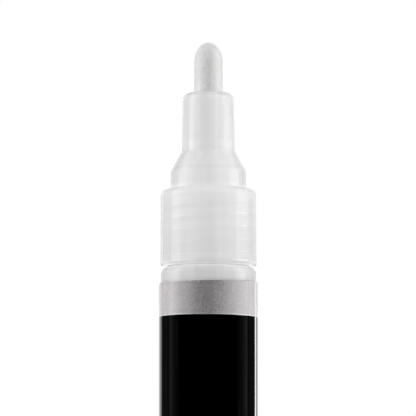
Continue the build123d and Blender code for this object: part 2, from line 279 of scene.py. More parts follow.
    def cloud(self, kind: Cloud) -> Socket:
        """Returns the value of a noise on the piece.

        Args:
            kind: the noise's settings.

        Returns:
            The noise, from 0 to 1.
        """
        scale = (1.0, 1.0, kind.along)
        scaled = self.add("ShaderNodeVectorMath", {0: self.spot, 1: scale}, operation="MULTIPLY")
        inputs = {
            "Vector": scaled.outputs["Vector"],
            "Scale": kind.scale,
            "Detail": kind.detail,
            "Roughness": kind.rough,
        }
        return self.add("ShaderNodeTexNoise", inputs).outputs["Fac"]


@dataclass
class Effects:
    """Node groups for the shared surface effects, each built once.

    A span holds the two levels of a noise that a smooth step runs between.
    """

    grain: Cloud = Cloud(scale=5200.0, detail=3.0, rough=0.6)
    flow: Cloud = Cloud(scale=420.0, detail=4.0, along=0.22)
    flow_shade: Span = (0.3, 0.7)
    haze: Cloud = Cloud(scale=900.0, detail=5.0, rough=0.65)
    haze_gloss: Span = (0.3, 0.75)
    fine_lines: Cloud = Cloud(scale=1100.0, detail=2.0, along=0.02)
    broad_lines: Cloud = Cloud(scale=380.0, detail=1.0, along=0.05)
    broad_share: float = 0.5
    line_shade: Span = (0.36, 0.64)
    patches: Cloud = Cloud(scale=160.0, detail=5.0, rough=0.6)
    patch_edge: Span = (0.45, 0.75)
    hairs: Cloud = Cloud(scale=4200.0, detail=1.0, along=0.03)
    hair_edge: Span = (0.66, 0.8)
    flecks: Cloud = Cloud(scale=2600.0, detail=3.0, rough=0.6)
    fleck_share: float = 0.25
    built: dict[Effect, bpy.types.NodeTree] = field(default_factory=dict)

    def place(self, graph: Graph, effect: Effect, **inputs: Value) -> Sockets:
        """Places a group in a material, and builds it the first time.

        Args:
            graph: the material's graph.
            effect: which effect.
            inputs: values for the group's inputs.

        Returns:
            The group's outputs.
        """
        makers = {
            Effect.MOULDED_SKIN: self._moulded_skin,
            Effect.FLOW_LINES: self._flow_lines,
            Effect.HANDLING: self._handling,
            Effect.METAL_FLAKE: self._metal_flake,
        }
        if effect not in self.built:
            self.built[effect] = makers[effect]()
        return graph.add("ShaderNodeGroup", inputs, node_tree=self.built[effect]).outputs

    @staticmethod
    def _start(
        effect: Effect, takes: Sequence[str], gives: Sequence[str]
    ) -> tuple[Graph, Sockets, Sockets]:
        """Makes an empty group.

        Args:
            effect: the effect that names the group.
            takes: names of its inputs.
            gives: names of its outputs.

        Returns:
            The group's graph, and the sockets inside it of its inputs and its outputs.
        """
        tree = bpy.data.node_groups.new(effect.value, "ShaderNodeTree")
        for in_out, labels in (("INPUT", takes), ("OUTPUT", gives)):
            for label in labels:
                tree.interface.new_socket(label, in_out=in_out, socket_type="NodeSocketFloat")
        graph = Graph(tree)
        return graph, graph.add("NodeGroupInput").outputs, graph.add("NodeGroupOutput").inputs

    def _moulded_skin(self) -> bpy.types.NodeTree:
        """Builds the fine skin of a moulding: grain, slow flow marks and a gloss that varies.

        Returns:
            The group.
        """
        inputs, outputs = ("Grain", "Flow"), ("Height", "Shade", "Gloss")
        graph, takes, gives = self._start(Effect.MOULDED_SKIN, inputs, outputs)
        flow = graph.cloud(self.flow)
        wave = graph.product(flow, takes["Flow"])
        fine = graph.product(graph.cloud(self.grain), takes["Grain"])
        graph.feed(gives["Height"], graph.math("ADD", wave, fine))
        graph.feed(gives["Shade"], graph.smooth(flow, *self.flow_shade))
        graph.feed(gives["Gloss"], graph.smooth(graph.cloud(self.haze), *self.haze_gloss))
        return graph.tree

    def _flow_lines(self) -> bpy.types.NodeTree:
        """Builds the fine lines along a moulding's length that its flow leaves in a clear plastic.

        Returns:
            The group.
        """
        graph, _, gives = self._start(Effect.FLOW_LINES, (), ("Streak",))
        fine = graph.cloud(self.fine_lines)
        both = graph.weighed(fine, graph.cloud(self.broad_lines), self.broad_share)
        graph.feed(gives["Streak"], graph.smooth(both, *self.line_shade))
        return graph.tree

    def _handling(self) -> bpy.types.NodeTree:
        """Builds faint rubbing from handling: hair scratches along the length and dull patches.

        Returns:
            The group.
        """
        graph, takes, gives = self._start(Effect.HANDLING, ("Amount",), ("Dull", "Scratch"))
        patch = graph.smooth(graph.cloud(self.patches), *self.patch_edge)
        hair = graph.smooth(graph.cloud(self.hairs), *self.hair_edge)
        graph.feed(gives["Dull"], graph.product(patch, takes["Amount"]))
        graph.feed(gives["Scratch"], graph.product(hair, takes["Amount"]))
        return graph.tree

    def _metal_flake(self) -> bpy.types.NodeTree:
        """Builds the sparkle of metal flakes in a print or a moulding.

        Returns:
            The group.
        """
        graph, takes, gives = self._start(Effect.METAL_FLAKE, ("Flakes",), ("Sparkle", "Height"))
        cells = graph.add("ShaderNodeTexVoronoi", {"Vector": graph.spot, "Scale": takes["Flakes"]})
        tone = graph.add("ShaderNodeSeparateColor", {"Color": cells.outputs["Color"]}).outputs
        mixed = graph.weighed(tone["Red"], graph.cloud(self.flecks), self.fleck_share)
        graph.feed(gives["Sparkle"], mixed)
        graph.feed(gives["Height"], tone["Green"])
        return graph.tree


# ---------- finishes


@dataclass(frozen=True)
class Relief:
    """A bump's depth in metres, and how much of it shows."""

    depth: float
    share: float


class Surface(Graph):
    """The graph of a new material, with its Principled shader."""

    def __init__(self, name: str) -> None:
        """Makes the material with a plain shader.

        Args:
            name: the material's name.
        """
        self.material = bpy.data.materials.new(name)
        self.material.use_nodes = True
        super().__init__(self.material.node_tree)
        self.tree.nodes.clear()
        self.shader = self.add("ShaderNodeBsdfPrincipled")
        self.add("ShaderNodeOutputMaterial", {"Surface": self.shader.outputs["BSDF"]})

    def dress(self, **values: Value) -> None:
        """Sets or links the shader's inputs, with _ for a space in their names."""
        for key, value in values.items():
            self.feed(self.shader.inputs[key.replace("_", " ")], value)

    def scatter(self, share: float, depth: float) -> None:
        """Lets a share of the light spread below the surface, alike in all colours."""
        self.dress(Subsurface_Weight=share, Subsurface_Scale=depth, Subsurface_Radius=WHITE)

    def bump(self, height: Value, relief: Relief) -> None:
        """Bumps the surface by a height of 0 to 1."""
        inputs = {"Height": height, "Distance": relief.depth, "Strength": relief.share}
        self.dress(Normal=self.add("ShaderNodeBump", inputs).outputs["Normal"])


class Finish:
    """One surface finish, made as a material when it is first asked for."""

    name: str
    relief: Relief

    def fill(self, graph: Surface, effects: Effects) -> None:
        """Sets and links the inputs of a material's shader."""
        raise NotImplementedError


@dataclass(frozen=True)
class PaintedBands:
    """Upright bands of painted light and shade between two heights, by the angle round the axis.

    The angle is in degrees. In the plastic the bands stand for walls inside seen through it, and in
    the silver print they are painted reflections. They are the same at the back as at the front.
    """

    low: float
    high: float
    stops: Stops
    fade: float = 0.6 * MM

    def level(self, graph: Graph) -> Socket:
        """Returns the bands' level, near 1.

        Args:
            graph: the material's graph.

        Returns:
            A level to multiply a tone with.
        """
        away = graph.math("SUBTRACT", graph.around(self.stops), 1.0)
        above = graph.smooth(graph.height, self.low, self.low + self.fade)
        below = graph.flipped(graph.smooth(graph.height, self.high - self.fade, self.high))
        return graph.math("ADD", graph.product(away, graph.product(above, below)), 1.0)


@dataclass(frozen=True)
class PaintedThreadLight:
    """Painted light and shade of a thread seen through a wall.

    It paints soft waves, deeper under each turn and paler above it, highlight dashes at two sides,
    and a highlight along a lip under it.

    Its heights are in metres. The sectors of the dashes, and the flanks that show the waves, are by
    the angle round the axis in degrees.
    """

    pitch: float
    start: float
    lip: float
    heights: Stops
    sectors: Stops
    flanks: Stops
    # The painted highlights' colour and share, and how deep the painted waves swing.
    pale: Colour = WHITE
    shows: float = 0.75
    swing: float = 0.035
    dash_width: float = 0.13
    lip_width: float = 0.2 * MM
    patches: Cloud = Cloud(scale=330.0, detail=2.0, along=3.0)
    patch_edge: Span = (0.3, 0.6)
    breaks: Cloud = Cloud(scale=260.0, detail=3.0, along=2.5)
    break_edge: Span = (0.25, 0.5)

    def _turns(self, graph: Graph) -> Socket:
        """Returns how far a place lies above the thread's line.

        Args:
            graph: the material's graph.

        Returns:
            A number of turns, whole on the line itself.
        """
        x, y, z = graph.axes
        climb = graph.math("DIVIDE", graph.math("SUBTRACT", z, self.start), self.pitch)
        round_axis = graph.math("DIVIDE", graph.math("ARCTAN2", y, x), TURN)
        return graph.math("SUBTRACT", climb, round_axis)

    def level(self, graph: Graph) -> Socket:
        """Returns the painted waves on the flanks: painted shade under each turn, light above it.

        Args:
            graph: the material's graph.

        Returns:
            A level to multiply a tone with.
        """
        side = graph.around(self.flanks)
        patchy = graph.smooth(graph.cloud(self.patches), *self.patch_edge)
        wave = graph.math("SINE", graph.product(self._turns(graph), TURN))
        size = graph.product(side, patchy, graph.ramp(graph.height, self.heights))
        return graph.math("ADD", graph.product(wave, size, self.swing), 1.0)

    def share(self, graph: Graph) -> Socket:
        """Returns how strongly the painted highlight dashes and the painted highlight lip show.

        Args:
            graph: the material's graph.

        Returns:
            A share from 0 to 1.
        """
        sector = graph.around(self.sectors)
        half = 0.5
        phase = graph.math("FRACT", graph.math("ADD", self._turns(graph), half))
        line = graph.near(phase, half, self.dash_width)
        broken = graph.smooth(graph.cloud(self.breaks), *self.break_edge)
        dashes = graph.product(line, broken, graph.ramp(graph.height, self.heights))
        ring = graph.near(graph.height, self.lip, self.lip_width)
        return graph.product(graph.math("MAXIMUM", dashes, ring), sector, self.shows)


@dataclass(frozen=True)
class MilkyPlastic(Finish):
    """Unpigmented polypropylene: milky, a little translucent, with a clear gloss.

    Its tone follows the height, with painted light and painted shade: paler at rims and corners,
    in place of light carried in the wall, and deeper where other pieces stand behind the wall. Its
    edge is painted deeper as the surface turns from the view, for a glassy edge. Walls inside are
    painted as faint upright bands of light and shade, and a thread as soft waves of painted shade
    and painted highlight dashes. Rims glow with painted light, though they are no lamp.
    """

    name: str = "milky_plastic"
    # Tone by height; where the stops differ, they paint light and shade.
    tone_and_painted_shading: Stops = ((0.0, 0.86), (1.0, 0.86))
    # Painted glow by height at rims: emission, though the rims are no lamp.
    painted_rim_glow: Stops = ()
    # Painted shade or light by how far the surface turns from the view.
    across: Stops = ((0.0, 1.0), (1.0, 1.0))
    # Painted bands of light and shade.
    painted_bands: tuple[PaintedBands, ...] = ()
    # Painted light and shade of a thread seen through the wall.
    painted_thread_light: Optional[PaintedThreadLight] = None
    depth: float = 1.3 * MM
    scatter: float = 0.75
    gloss: float = 0.1
    haze: float = 0.08
    mottle: float = 0.03
    streak: float = 0.05
    relief: Relief = Relief(depth=0.015 * MM, share=0.5)

    def fill(self, graph: Surface, effects: Effects) -> None:
        """Sets the milky body, its scatter and its gloss.

        Args:
            graph: the material's graph.
            effects: the shared effects.
        """
        graph.dress(IOR=1.49)
        graph.scatter(self.scatter, self.depth)
        skin = effects.place(graph, Effect.MOULDED_SKIN, Grain=0.25, Flow=1.0)
        lines = effects.place(graph, Effect.FLOW_LINES)
        # The tone's level, with painted shading by height and facing, painted bands and painted
        # thread.
        levels = [
            graph.ramp(graph.height, self.tone_and_painted_shading),
            graph.turned(self.across),
            graph.span(skin["Shade"], 1.0 - self.mottle, 1.0),
            graph.span(lines["Streak"], 1.0 - self.streak, 1.0),
        ]
        levels += [painted_bands.level(graph) for painted_bands in self.painted_bands]
        if self.painted_thread_light:
            levels.append(self.painted_thread_light.level(graph))
        level = graph.product(*levels)
        grey = {0: level, 1: level, 2: level}
        colour = graph.add("ShaderNodeCombineColor", grey).outputs["Color"]
        if self.painted_thread_light:
            colour = graph.blend(self.painted_thread_light.share(graph), colour, self.painted_thread_light.pale)
        rough = graph.span(skin["Gloss"], self.gloss, self.gloss + self.haze)
        graph.dress(Base_Color=colour, Roughness=rough)
        if self.painted_rim_glow:
            # Painted rim glow: an emission where there is no lamp.
            painted_glow = graph.ramp(graph.height, self.painted_rim_glow)
            graph.dress(Emission_Strength=1.0, Emission_Color=painted_glow)
        graph.bump(skin["Height"], self.relief)


@dataclass(frozen=True)
class FibreNib(Finish):
    """Bonded polyester fibre: a matt white felt with pores, strands along its length and sheen.

    The sheen is partly the shader's and partly painted, paler as the surface turns from the view.
    The foot is by the height in millimetres: painted light makes it paler next to the plastic.
    """

    name: str = "fibre_nib"
    strand: Colour = (0.725, 0.725, 0.72)
    pore: Colour = (0.625, 0.625, 0.62)
    strands: Cloud = Cloud(scale=3600.0, detail=4.0, rough=0.65, along=0.4)
    clumps: Cloud = Cloud(scale=1300.0, detail=3.0, rough=0.55)
    clump_share: float = 0.35
    pore_edge: Span = (0.3, 0.62)
    # Painted light at the foot, next to the plastic.
    foot: Stops = ((147.6, 1.0), (148.3, 1.22), (148.9, 1.11), (149.6, 1.04), (151, 1.0))
    # Painted sheen: paler as the surface turns from the view.
    across: Stops = (
        (0.0, 0.93), (0.012, 0.99), (0.034, 1.05), (0.109, 1.08), (0.161, 1.13), (0.223, 1.15),
        (0.455, 1.12), (1.0, 1.1),
    )
    scatter: float = 0.35
    depth: float = 0.5 * MM
    relief: Relief = Relief(depth=0.06 * MM, share=0.6)

    def fill(self, graph: Surface, effects: Effects) -> None:
        """Sets strands, pores and a dry, fuzzy surface.

        Args:
            graph: the material's graph.
            effects: the shared effects; not used here.
        """
        graph.dress(Roughness=0.5, Specular_IOR_Level=1.0, Sheen_Weight=1.0, Sheen_Roughness=0.4)
        graph.scatter(self.scatter, self.depth)
        strands = graph.cloud(self.strands)
        tone = graph.weighed(strands, graph.cloud(self.clumps), self.clump_share)
        foot = graph.ramp(graph.height, in_metres(self.foot))
        # Painted sheen by facing and painted light at the foot.
        level = graph.product(graph.turned(self.across), foot)
        colour = graph.blend(graph.smooth(tone, *self.pore_edge), self.pore, self.strand)
        graph.dress(Base_Color=graph.shaded(colour, level))
        graph.bump(tone, self.relief)


@dataclass(frozen=True)
class PrintedFilm(Finish):
    """Label film: silver print at its top, a hair of pale edge, gloss black below, a bare margin.

    The margin is a strip without print, by the angle round the axis in degrees. The silver has a
    painted sheen and painted reflection bands.
    """

    name: str = "printed_film"
    silver: Colour = (0.745, 0.729, 0.737)
    silver_dark: Colour = (0.456, 0.429, 0.432)
    black: Colour = (0.0005, 0.0005, 0.00055)
    scratched: Colour = (0.02, 0.02, 0.02)
    scratches: float = 0.25
    pale: Colour = (0.85, 0.84, 0.84)
    border_z: float = 113.4 * MM
    border_slope: float = -0.0063
    border_blur: float = 0.03 * MM
    line_width: float = 0.25 * MM
    margin: Stops = ((69.1, 0.0), (69.9, 1.0), (73, 1.0), (73.8, 0.0))
    margin_white: Colour = (0.95, 0.95, 0.95)
    # Painted reflections on the silver print.
    painted_bands: PaintedBands = PaintedBands(
        low=110.0 * MM,
        high=122.0 * MM,
        stops=(
            (-90, 1.05), (-65, 1.05), (-58, 0.99), (-51, 0.965), (-47.5, 1.01), (-44, 0.985),
            (-39, 0.95), (-37, 0.965), (-33, 1.02), (-27, 1.11), (-21, 1.115), (-15, 0.98),
            (-9, 0.966), (-6, 0.96), (-2, 1.0), (4, 1.0), (7, 1.095), (14, 1.11), (18, 1.143),
            (21, 1.186), (27, 1.173), (33, 1.07), (37, 0.975), (39, 0.945), (46, 0.93), (51, 0.95),
            (57, 1.028), (66, 1.07), (90, 1.07),
        ),
    )
    flakes: float = 8500.0
    grain: Stops = ((0.0, 1.35), (0.03, 1.25), (0.055, 1.0), (0.08, 0.7), (0.2, 0.6), (1.0, 0.6))
    # Painted sheen on the silver: paler as the surface turns from the view.
    across: Stops = (
        (0.0, 0.85), (0.012, 0.96), (0.034, 1.02), (0.3, 1.04), (0.546, 1.42), (1.0, 1.42),
    )
    gloss: float = 0.04
    satin: float = 0.54
    dulling: float = 0.03
    coat: float = 0.8
    relief: Relief = Relief(depth=0.012 * MM, share=0.5)

    def fill(self, graph: Surface, effects: Effects) -> None:
        """Sets the two inks, the pale edge between them, the bare margin and the film's gloss.

        Args:
            graph: the material's graph.
            effects: the shared effects.
        """
        graph.dress(Coat_IOR=1.5, Coat_Roughness=0.2)
        x, y, z = graph.axes
        rise = graph.math("SUBTRACT", z, graph.product(x, self.border_slope))
        low, high = self.border_z - self.border_blur, self.border_z + self.border_blur
        band = graph.smooth(rise, low, high)
        line = graph.flipped(graph.smooth(rise, self.border_z, self.border_z + self.line_width))
        flake = effects.place(graph, Effect.METAL_FLAKE, Flakes=self.flakes)
        middle = 0.5
        away = graph.math("SUBTRACT", flake["Sparkle"], middle)
        sparkle = graph.math("ADD", graph.product(away, graph.turned(self.grain)), middle)
        printed = graph.blend(sparkle, self.silver_dark, self.silver)
        # Painted sheen and painted reflection bands on the silver.
        level = graph.product(graph.turned(self.across), self.painted_bands.level(graph))
        silver = graph.shaded(graph.blend(line, printed, self.pale), level)
        rub = effects.place(graph, Effect.HANDLING, Amount=1.0)
        scratch = graph.product(rub["Scratch"], self.scratches)
        black = graph.blend(scratch, self.black, self.scratched)
        angle = graph.math("ARCTAN2", x, graph.product(y, -1.0))
        bare = graph.ramp(angle, in_radians(self.margin))
        inks = graph.blend(band, black, silver)
        satin = graph.math("ADD", graph.product(band, self.satin), self.gloss)
        graph.dress(
            Base_Color=graph.blend(bare, inks, self.margin_white),
            Metallic=graph.flipped(bare),
            Coat_Weight=graph.product(band, self.coat),
            Roughness=graph.math("ADD", satin, graph.product(rub["Dull"], self.dulling)),
        )
        graph.bump(graph.product(flake["Height"], band), self.relief)


@dataclass(frozen=True)
class CapPlastic(Finish):
    """Moulded cap in silver-grey plastic with fine flakes and a satin skin."""

    name: str = "cap_plastic"
    light: Colour = (0.4, 0.4, 0.405)
    dark: Colour = (0.31, 0.31, 0.315)
    flakes: float = 5200.0
    metal: Span = (0.25, 0.55)
    satin: Span = (0.34, 0.44)
    polish: float = 0.1
    relief: Relief = Relief(depth=0.02 * MM, share=0.6)

    def fill(self, graph: Surface, effects: Effects) -> None:
        """Sets flakes in the plastic, a satin skin and faint rubbing.

        Args:
            graph: the material's graph.
            effects: the shared effects.
        """
        sparkle = effects.place(graph, Effect.METAL_FLAKE, Flakes=self.flakes)["Sparkle"]
        skin = effects.place(graph, Effect.MOULDED_SKIN, Grain=0.6, Flow=0.5)
        rub = effects.place(graph, Effect.HANDLING, Amount=1.0)
        rough = graph.span(skin["Gloss"], *self.satin)
        graph.dress(
            IOR=1.49,
            Base_Color=graph.blend(sparkle, self.dark, self.light),
            Metallic=graph.span(sparkle, *self.metal),
            Roughness=graph.math("SUBTRACT", rough, graph.product(rub["Scratch"], self.polish)),
        )
        graph.bump(skin["Height"], self.relief)


@dataclass(frozen=True)
class Steel(Finish):
    """Bright steel, polished on the balls and drawn on the spring wire."""

    name: str = "steel"
    bright: Colour = (0.66, 0.66, 0.67)
    dull: Colour = (0.5, 0.5, 0.51)
    gloss: float = 0.12
    wear: float = 0.14
    relief: Relief = Relief(depth=0.004 * MM, share=0.4)

    def fill(self, graph: Surface, effects: Effects) -> None:
        """Sets bare steel with a faint film of wear.

        Args:
            graph: the material's graph.
            effects: the shared effects.
        """
        rub = effects.place(graph, Effect.HANDLING, Amount=1.0)
        graph.dress(
            Metallic=1.0,
            Base_Color=graph.blend(rub["Dull"], self.bright, self.dull),
            Roughness=graph.span(rub["Dull"], self.gloss, self.gloss + self.wear),
        )
        graph.bump(rub["Scratch"], self.relief)


@dataclass(frozen=True)
class SealRubber(Finish):
    """Grey moulded rubber of the gasket and the valve's washer."""

    name: str = "rubber"
    light: Colour = (0.14, 0.14, 0.15)
    dark: Colour = (0.1, 0.1, 0.11)
    matt: Span = (0.6, 0.78)
    relief: Relief = Relief(depth=0.03 * MM, share=0.7)

    def fill(self, graph: Surface, effects: Effects) -> None:
        """Sets dull rubber with a fine moulded grain.

        Args:
            graph: the material's graph.
            effects: the shared effects.
        """
        skin = effects.place(graph, Effect.MOULDED_SKIN, Grain=1.0, Flow=0.4)
        graph.dress(
            IOR=1.52,
            Specular_IOR_Level=0.35,
            Base_Color=graph.blend(skin["Shade"], self.dark, self.light),
            Roughness=graph.span(skin["Gloss"], *self.matt),
        )
        graph.bump(skin["Height"], self.relief)


class Paintbox:
    """Keeps one material for each finish."""

    def __init__(self, effects: Effects) -> None:
        """Takes the shared effects."""
        self.effects = effects
        self.made: dict[str, bpy.types.Material] = {}

    def coat(self, thing: bpy.types.Object, finish: Finish) -> None:
        """Gives a piece or a CAD node one finish.

        Args:
            thing: the object.
            finish: its finish.
        """
        if finish.name not in self.made:
            surface = Surface(finish.name)
            finish.fill(surface, self.effects)
            self.made[finish.name] = surface.material
        material = self.made[finish.name]
        if not thing.material_slots:
            thing.data.materials.append(material)
        for slot in thing.material_slots:
            slot.material = material
        log.info("finish %s on %s", finish.name, thing.name)

    def coat_nodes(self, finish: Finish, *names: str) -> None:
        """Gives CAD nodes one finish."""
        for name in names:
            self.coat(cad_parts[name], finish)


# ---------- meshes


def ring_mesh(name: str, rings: Sequence[Sequence[Vector]], closed: bool) -> bpy.types.Object:
    """Makes a smooth mesh through rings of points, with a point or a face at each end.

    Args:
        name: the object's name.
        rings: rings of equally many points; a ring of one point closes an end.
        closed: whether open end rings get a face.

    Returns:
        The new object, linked to the scene.
    """
    points: list[Vector] = []
    starts: list[int] = []
    for ring in rings:
        starts.append(len(points))
        points.extend(ring)
    faces: list[tuple[int, ...]] = []
    for low, high, a, b in zip(rings, rings[1:], starts, starts[1:]):
        count = max(len(low), len(high))
        for i in range(count):
            j = (i + 1) % count
            if len(low) == 1:
                faces.append((a, b + j, b + i))
            elif len(high) == 1:
                faces.append((a + i, a + j, b))
            else:
                faces.append((a + i, a + j, b + j, b + i))
    if closed:
        faces.append(tuple(range(starts[0] + len(rings[0]) - 1, starts[0] - 1, -1)))
        faces.append(tuple(range(starts[-1], starts[-1] + len(rings[-1]))))
    mesh = bpy.data.meshes.new(name)
    mesh.from_pydata([tuple(p) for p in points], [], faces)
    mesh.validate()
    mesh.polygons.foreach_set("use_smooth", [True] * len(mesh.polygons))
    mesh.update()
    thing = bpy.data.objects.new(name, mesh)
    bpy.context.scene.collection.objects.link(thing)
    return thing


@dataclass
class Nib:
    """The fibre nib, with a felted surface in place of the plain solid."""

    radius: float = 2.25 * MM
    dome: float = 3.1 * MM
    tip_radius: float = 1.75 * MM
    shown: float = 9.5 * MM
    segments: int = 168
    rear_rings: int = 30
    tip_rings: int = 60
    fine_step: float = 0.065 * MM
    coarse_step: float = 0.9 * MM
    felt_depth: float = 0.04 * MM
    felt_layers: int = 3
    layer_fade: float = 0.9
    layer_step: float = 2.0
    strand_width: float = 0.3 * MM
    strand_length: float = 0.75 * MM

    def build(self) -> bpy.types.Object:
        """Builds the felted nib in the solid's place.

        Returns:
            The nib's object, riding on the nib's body.
        """
        low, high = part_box("nib")
        rear, tip = low.z, high.z
        sides = [self._ring(z, rear, tip) for z in self._levels(rear, tip)]
        rings = [[Vector((0.0, 0.0, rear))], *sides, [Vector((0.0, 0.0, tip))]]
        thing = ring_mesh("nib_felt", rings, closed=False)
        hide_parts("nib")
        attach(thing, Body.NIB.value)
        return thing

    def _levels(self, rear: float, tip: float) -> list[float]:
        """Returns the heights of the rings: even along the side, and closer towards the two tips.

        Args:
            rear: height of the rear tip.
            tip: height of the writing tip.

        Returns:
            The heights, upwards, without the tips themselves.
        """
        turns = [QUARTER_TURN * i / self.rear_rings for i in range(1, self.rear_rings + 1)]
        levels = [rear + self.dome * (1 - math.cos(t)) for t in turns]
        z = levels[-1]
        while z < tip - self.shown:
            z += self.coarse_step
            levels.append(z)
        top = tip - self.dome
        count = max(1, round((top - z) / self.fine_step))
        levels += [z + (top - z) * i / count for i in range(1, count + 1)]
        turns = [QUARTER_TURN * i / self.tip_rings for i in range(1, self.tip_rings)]
        levels += [top + self.dome * math.sin(t) for t in turns]
        return levels

    def _side(self, depth: float) -> float:
        """Returns the nib's radius, from the solid's two arcs.

        Args:
            depth: how far the place is from the nearer tip, along the nib.

        Returns:
            The radius there.
        """
        if depth >= self.dome:
            return self.radius
        drop = self.dome - self.tip_radius
        chord = self.radius**2 + drop**2 - self.tip_radius**2
        flank = chord / (2 * (self.radius - self.tip_radius))
        lean = math.atan2(drop, flank - self.radius)
        if depth < self.tip_radius * (1 - math.sin(lean)):
            return math.sqrt(max(0.0, self.tip_radius**2 - (self.tip_radius - depth) ** 2))
        return self.radius - flank + math.sqrt(flank**2 - (self.dome - depth) ** 2)

    def _ring(self, z: float, rear: float, tip: float) -> list[Vector]:
        """Returns one ring of points, pressed in by the felt's strands and pores.

        Args:
            z: the ring's height.
            rear: height of the rear tip.
            tip: height of the writing tip.

        Returns:
            The ring's points, in order round the axis.
        """
        side = self._side(min(tip - z, z - rear))
        width, length = self.strand_width, self.strand_length
        points = []
        for i in range(self.segments):
            angle = TURN * i / self.segments
            across = Vector((math.cos(angle), math.sin(angle), 0.0))
            point = across * side
            spot = Vector((point.x / width, point.y / width, z / length))
            rough = noise.fractal(spot, self.layer_fade, self.layer_step, self.felt_layers)
            felt = min(1.0, max(0.0, 0.5 + 0.5 * rough))
            points.append(point - across * self.felt_depth * felt + Vector((0.0, 0.0, z)))
        return points


@dataclass
class ValveSpring:
    """The valve's coil spring with closed ends, which shortens when the nib is pressed."""

    radius: float = 1.75 * MM
    wire: float = 0.2 * MM
    turns: float = 7.5
    closed_turns: float = 0.9
    closed_pitch: float = 2.1
    travel: float = 2.5 * MM
    steps_per_turn: int = 40
    sides: int = 10

    def build(self) -> bpy.types.Object:
        """Builds the coil in the solid's place.

        Returns:
            The spring's object, riding on the head.
        """
        low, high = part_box("valve_spring")
        foot, top = low.z + self.wire, high.z - self.wire
        count = round(self.turns * self.steps_per_turn)
        places = [self._place(self.turns * i / count, foot, top) for i in range(count + 1)]
        angles = [TURN * k / self.sides for k in range(self.sides)]
        rings = []
        for i, place in enumerate(places):
            ahead = (places[min(i + 1, count)] - places[max(i - 1, 0)]).normalized()
            out = Vector((place.x, place.y, 0.0)).normalized()
            up = out.cross(ahead) * -1.0
            ways = [out * math.cos(angle) + up * math.sin(angle) for angle in angles]
            rings.append([place + way * self.wire for way in ways])
        thing = ring_mesh("valve_coil", rings, closed=True)
        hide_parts("valve_spring")
        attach(thing, Body.HEAD.value)
        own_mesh(thing)
        return thing

    def _place(self, turn: float, foot: float, top: float) -> Vector:
        """Returns the wire's centre after some turns; the end turns lie almost flat.

        Args:
            turn: how many turns from the foot.
            foot: height of the wire's centre at the foot.
            top: height of the wire's centre at the top.

        Returns:
            The centre.
        """
        flat = self.closed_turns
        rise_flat = self.closed_pitch * self.wire * flat
        middle = self.turns - 2 * flat
        if turn < flat:
            z = foot + rise_flat * turn / flat
        elif turn > self.turns - flat:
            z = top - rise_flat * (self.turns - turn) / flat
        else:
            z = foot + rise_flat + (top - foot - 2 * rise_flat) * (turn - flat) / middle
        angle = TURN * turn
        return Vector((self.radius * math.cos(angle), self.radius * math.sin(angle), z))


# ---------- sub-assemblies


